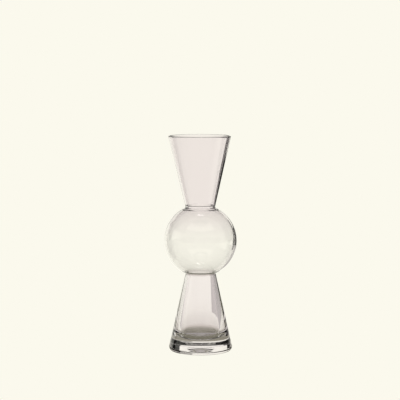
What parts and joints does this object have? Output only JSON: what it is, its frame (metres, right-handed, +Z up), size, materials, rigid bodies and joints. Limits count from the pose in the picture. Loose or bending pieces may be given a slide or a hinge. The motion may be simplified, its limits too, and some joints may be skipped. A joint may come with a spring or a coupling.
{
  "type": "blown glass vase",
  "caption": "Blown glass bud vase: a flared funnel neck above a round globe and a conical foot on a thick solid base, for a few cut stems in water.",
  "frame": {"origin": "middle of the flat ring that the vase rests on", "axes": "+Z up along the vase's axis of revolution, out of the mouth"},
  "size_m": [0.0736, 0.0736, 0.22],
  "materials": {
    "blown_glass": "gloss, clear with a faint smoke tint",
    "seam_glass": "gloss, clear with a faint smoke tint",
    "base_glass": "gloss, clear with a faint smoke tint, polished underneath"
  },
  "bodies": {
    "root": {"neck_funnel": "blown_glass", "upper_seam": "seam_glass", "globe": "blown_glass", "lower_seam": "seam_glass", "foot_cone": "blown_glass", "base": "base_glass"}
  },
  "joints": []
}
